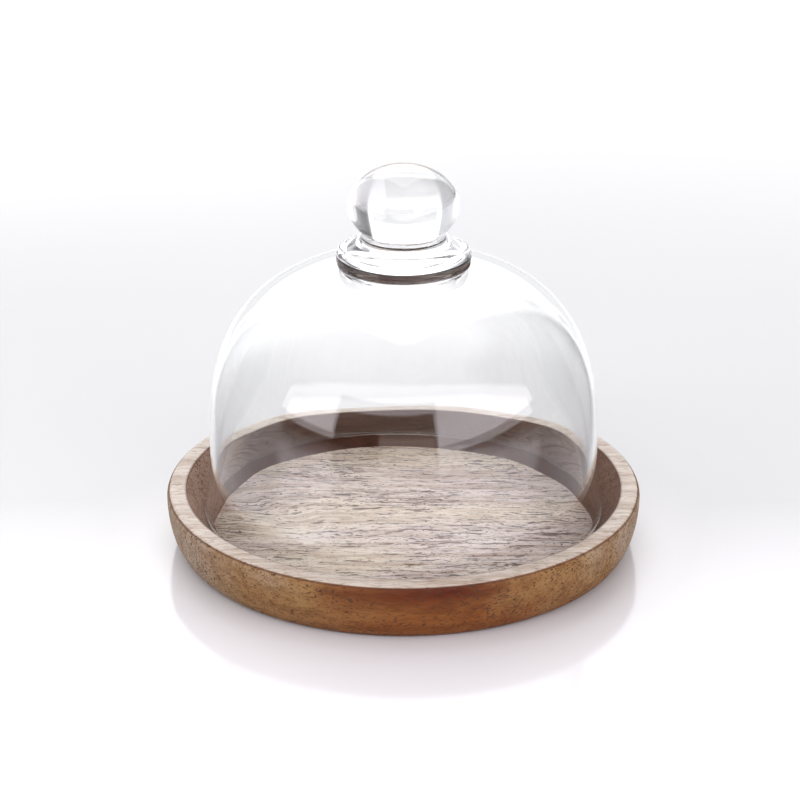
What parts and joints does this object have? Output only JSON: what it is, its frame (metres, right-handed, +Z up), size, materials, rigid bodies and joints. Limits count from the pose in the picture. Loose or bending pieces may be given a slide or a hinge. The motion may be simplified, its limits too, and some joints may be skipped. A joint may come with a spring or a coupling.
{
  "type": "cheese dome",
  "caption": "Clear glass cheese dome with a fused collar and ball knob, resting in the sloping recess of a round turned wooden serving tray.",
  "frame": {"origin": "centre of the tray's flat underside, on the surface that the tray stands on", "axes": "+Z up along the common axis of tray, bell and knob; +X along the wood's grain"},
  "size_m": [0.18, 0.18, 0.1478],
  "materials": {
    "tray_wood": "oiled satin, turned hardwood with open pores",
    "clear_glass": "clear, smooth, mouth blown and fire polished"
  },
  "bodies": {
    "tray": {"wooden_tray": "tray_wood"},
    "dome": {"glass_bell": "clear_glass", "knob_collar": "clear_glass", "glass_knob": "clear_glass"}
  },
  "joints": [
    {"name": "dome_lift", "type": "slide", "parent": "tray", "child": "dome", "axis": [0, 0, 1], "range_m": [0, 0.1]}
  ]
}
